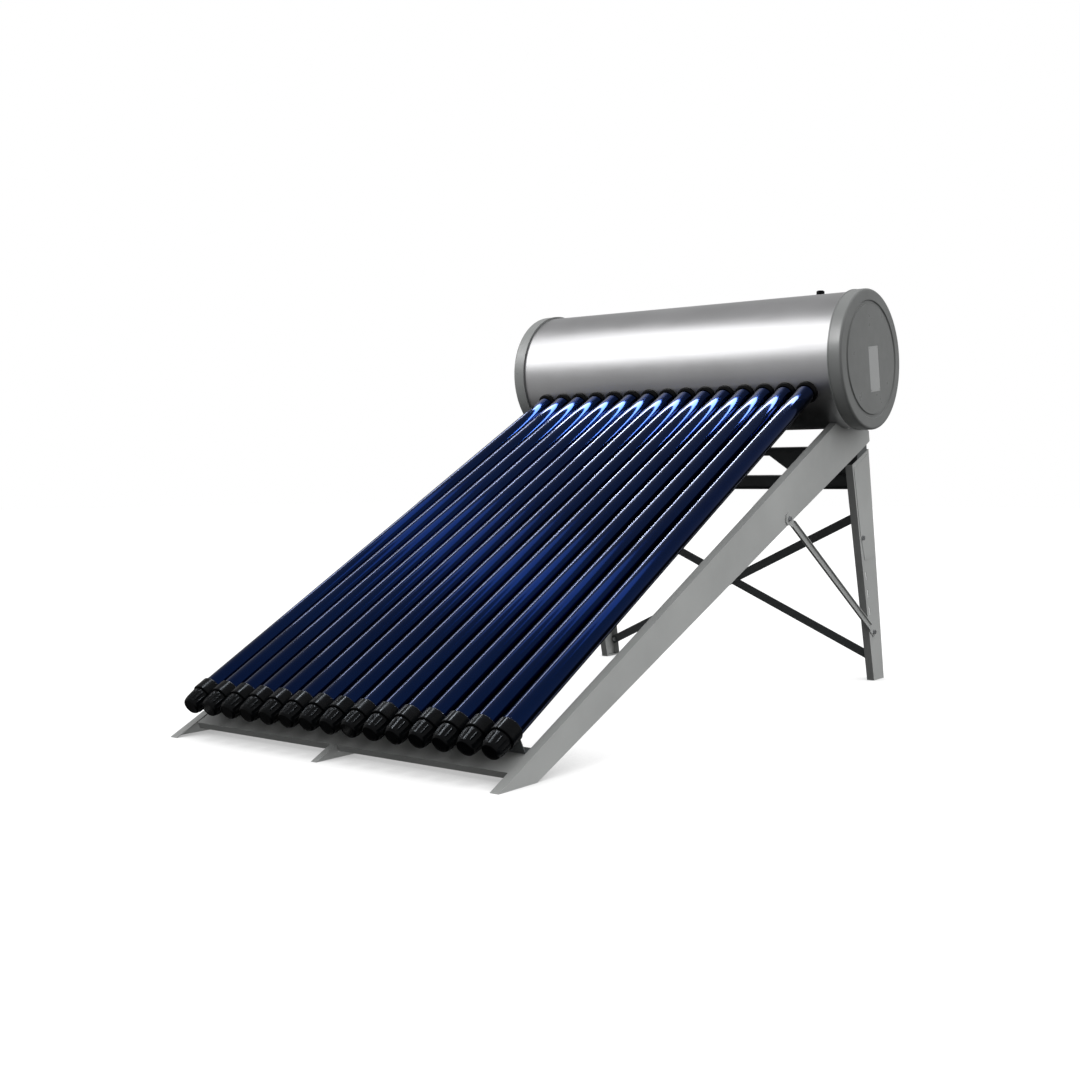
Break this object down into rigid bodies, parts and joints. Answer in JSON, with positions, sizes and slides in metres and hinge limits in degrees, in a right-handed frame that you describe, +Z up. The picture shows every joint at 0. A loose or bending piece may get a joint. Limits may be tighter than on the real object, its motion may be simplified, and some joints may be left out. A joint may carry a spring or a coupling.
{
  "type": "solar water heater",
  "caption": "Solar water heater: sloping bank of evacuated glass tubes under a horizontal insulated tank on a tapered sheet-steel stand.",
  "frame": {"origin": "ground level, on the middle plane of the tube bank, half way between the front foot tips and the back feet", "axes": "+X along the tank to the right as seen from the tubes, +Y from the tubes' low end to the back legs, +Z up"},
  "size_m": [1.32, 2.034, 1.3135],
  "materials": {
    "tube_glass": "deep navy evacuated tube, glossy",
    "black_plastic": "moulded black plastic",
    "black_rubber": "black rubber dust ring",
    "silicone": "red silicone seal",
    "stainless": "satin stainless sheet",
    "foam": "rigid polyurethane foam",
    "inner_steel": "welded stainless steel",
    "cap_paint": "satin grey powder coat",
    "plate": "blank plate, satin",
    "anode": "cast sacrificial anode",
    "brass": "plain brass",
    "frame_paint": "light grey powder coat",
    "back_paint": "dark grey powder coat",
    "zinc": "zinc plated"
  },
  "bodies": {
    "stand_and_tank": {"cup_collars": "black_plastic", "dust_rings": "black_rubber", "tube_seals": "silicone", "outer_shell": "stainless", "insulation_foam": "foam", "inner_tank": "inner_steel", "end_cap_left": "cap_paint", "end_cap_right": "cap_paint", "rating_plate": "plate", "vent_pipe": "inner_steel", "anode_rod": "anode", "water_nipples": "brass", "rail_left": "frame_paint", "rail_right": "frame_paint", "middle_foot": "frame_paint", "leg_left": "frame_paint", "leg_right": "frame_paint", "leg_doublers": "frame_paint", "leg_brackets": "back_paint", "strut_left": "frame_paint", "strut_right": "frame_paint", "cross_brace_a": "back_paint", "cross_brace_b": "back_paint", "upper_cross_beam": "back_paint", "lower_cross_bar": "back_paint", "corner_gussets": "back_paint", "tail_tray": "frame_paint", "tube_cradle": "back_paint", "frame_bolts": "zinc"},
    "tube_01": {"tube_01": "tube_glass"},
    "tube_02": {"tube_02": "tube_glass"},
    "tube_03": {"tube_03": "tube_glass"},
    "tube_04": {"tube_04": "tube_glass"},
    "tube_05": {"tube_05": "tube_glass"},
    "tube_06": {"tube_06": "tube_glass"},
    "tube_07": {"tube_07": "tube_glass"},
    "tube_08": {"tube_08": "tube_glass"},
    "tube_09": {"tube_09": "tube_glass"},
    "tube_10": {"tube_10": "tube_glass"},
    "tube_11": {"tube_11": "tube_glass"},
    "tube_12": {"tube_12": "tube_glass"},
    "tube_13": {"tube_13": "tube_glass"},
    "tube_14": {"tube_14": "tube_glass"},
    "tube_15": {"tube_15": "tube_glass"},
    "cup_01": {"cup_base_01": "black_plastic"},
    "cup_02": {"cup_base_02": "black_plastic"},
    "cup_03": {"cup_base_03": "black_plastic"},
    "cup_04": {"cup_base_04": "black_plastic"},
    "cup_05": {"cup_base_05": "black_plastic"},
    "cup_06": {"cup_base_06": "black_plastic"},
    "cup_07": {"cup_base_07": "black_plastic"},
    "cup_08": {"cup_base_08": "black_plastic"},
    "cup_09": {"cup_base_09": "black_plastic"},
    "cup_10": {"cup_base_10": "black_plastic"},
    "cup_11": {"cup_base_11": "black_plastic"},
    "cup_12": {"cup_base_12": "black_plastic"},
    "cup_13": {"cup_base_13": "black_plastic"},
    "cup_14": {"cup_base_14": "black_plastic"},
    "cup_15": {"cup_base_15": "black_plastic"},
    "vent_cap": {"vent_cap": "black_plastic"}
  },
  "joints": [
    {"name": "lift_vent_cap", "type": "slide", "parent": "stand_and_tank", "child": "vent_cap", "axis": [0, 0, 1], "range_m": [0, 0.012]},
    {"name": "slide_tube_01", "type": "slide", "parent": "stand_and_tank", "child": "tube_01", "axis": [0, 0.866, 0.5], "range_m": [0, 0.06]},
    {"name": "slide_tube_02", "type": "slide", "parent": "stand_and_tank", "child": "tube_02", "axis": [0, 0.866, 0.5], "range_m": [0, 0.06]},
    {"name": "slide_tube_03", "type": "slide", "parent": "stand_and_tank", "child": "tube_03", "axis": [0, 0.866, 0.5], "range_m": [0, 0.06]},
    {"name": "slide_tube_04", "type": "slide", "parent": "stand_and_tank", "child": "tube_04", "axis": [0, 0.866, 0.5], "range_m": [0, 0.06]},
    {"name": "slide_tube_05", "type": "slide", "parent": "stand_and_tank", "child": "tube_05", "axis": [0, 0.866, 0.5], "range_m": [0, 0.06]},
    {"name": "slide_tube_06", "type": "slide", "parent": "stand_and_tank", "child": "tube_06", "axis": [0, 0.866, 0.5], "range_m": [0, 0.06]},
    {"name": "slide_tube_07", "type": "slide", "parent": "stand_and_tank", "child": "tube_07", "axis": [0, 0.866, 0.5], "range_m": [0, 0.06]},
    {"name": "slide_tube_08", "type": "slide", "parent": "stand_and_tank", "child": "tube_08", "axis": [0, 0.866, 0.5], "range_m": [0, 0.06]},
    {"name": "slide_tube_09", "type": "slide", "parent": "stand_and_tank", "child": "tube_09", "axis": [0, 0.866, 0.5], "range_m": [0, 0.06]},
    {"name": "slide_tube_10", "type": "slide", "parent": "stand_and_tank", "child": "tube_10", "axis": [0, 0.866, 0.5], "range_m": [0, 0.06]},
    {"name": "slide_tube_11", "type": "slide", "parent": "stand_and_tank", "child": "tube_11", "axis": [0, 0.866, 0.5], "range_m": [0, 0.06]},
    {"name": "slide_tube_12", "type": "slide", "parent": "stand_and_tank", "child": "tube_12", "axis": [0, 0.866, 0.5], "range_m": [0, 0.06]},
    {"name": "slide_tube_13", "type": "slide", "parent": "stand_and_tank", "child": "tube_13", "axis": [0, 0.866, 0.5], "range_m": [0, 0.06]},
    {"name": "slide_tube_14", "type": "slide", "parent": "stand_and_tank", "child": "tube_14", "axis": [0, 0.866, 0.5], "range_m": [0, 0.06]},
    {"name": "slide_tube_15", "type": "slide", "parent": "stand_and_tank", "child": "tube_15", "axis": [0, 0.866, 0.5], "range_m": [0, 0.06]},
    {"name": "turn_cup_01", "type": "hinge", "parent": "stand_and_tank", "child": "cup_01", "pos_m": [-0.525, -0.99039, 0.081], "axis": [0, 0.866, 0.5], "range_deg": [0, 360]},
    {"name": "turn_cup_02", "type": "hinge", "parent": "stand_and_tank", "child": "cup_02", "pos_m": [-0.45, -0.99039, 0.081], "axis": [0, 0.866, 0.5], "range_deg": [0, 360]},
    {"name": "turn_cup_03", "type": "hinge", "parent": "stand_and_tank", "child": "cup_03", "pos_m": [-0.375, -0.99039, 0.081], "axis": [0, 0.866, 0.5], "range_deg": [0, 360]},
    {"name": "turn_cup_04", "type": "hinge", "parent": "stand_and_tank", "child": "cup_04", "pos_m": [-0.3, -0.99039, 0.081], "axis": [0, 0.866, 0.5], "range_deg": [0, 360]},
    {"name": "turn_cup_05", "type": "hinge", "parent": "stand_and_tank", "child": "cup_05", "pos_m": [-0.225, -0.99039, 0.081], "axis": [0, 0.866, 0.5], "range_deg": [0, 360]},
    {"name": "turn_cup_06", "type": "hinge", "parent": "stand_and_tank", "child": "cup_06", "pos_m": [-0.15, -0.99039, 0.081], "axis": [0, 0.866, 0.5], "range_deg": [0, 360]},
    {"name": "turn_cup_07", "type": "hinge", "parent": "stand_and_tank", "child": "cup_07", "pos_m": [-0.075, -0.99039, 0.081], "axis": [0, 0.866, 0.5], "range_deg": [0, 360]},
    {"name": "turn_cup_08", "type": "hinge", "parent": "stand_and_tank", "child": "cup_08", "pos_m": [0, -0.99039, 0.081], "axis": [0, 0.866, 0.5], "range_deg": [0, 360]},
    {"name": "turn_cup_09", "type": "hinge", "parent": "stand_and_tank", "child": "cup_09", "pos_m": [0.075, -0.99039, 0.081], "axis": [0, 0.866, 0.5], "range_deg": [0, 360]},
    {"name": "turn_cup_10", "type": "hinge", "parent": "stand_and_tank", "child": "cup_10", "pos_m": [0.15, -0.99039, 0.081], "axis": [0, 0.866, 0.5], "range_deg": [0, 360]},
    {"name": "turn_cup_11", "type": "hinge", "parent": "stand_and_tank", "child": "cup_11", "pos_m": [0.225, -0.99039, 0.081], "axis": [0, 0.866, 0.5], "range_deg": [0, 360]},
    {"name": "turn_cup_12", "type": "hinge", "parent": "stand_and_tank", "child": "cup_12", "pos_m": [0.3, -0.99039, 0.081], "axis": [0, 0.866, 0.5], "range_deg": [0, 360]},
    {"name": "turn_cup_13", "type": "hinge", "parent": "stand_and_tank", "child": "cup_13", "pos_m": [0.375, -0.99039, 0.081], "axis": [0, 0.866, 0.5], "range_deg": [0, 360]},
    {"name": "turn_cup_14", "type": "hinge", "parent": "stand_and_tank", "child": "cup_14", "pos_m": [0.45, -0.99039, 0.081], "axis": [0, 0.866, 0.5], "range_deg": [0, 360]},
    {"name": "turn_cup_15", "type": "hinge", "parent": "stand_and_tank", "child": "cup_15", "pos_m": [0.525, -0.99039, 0.081], "axis": [0, 0.866, 0.5], "range_deg": [0, 360]}
  ]
}
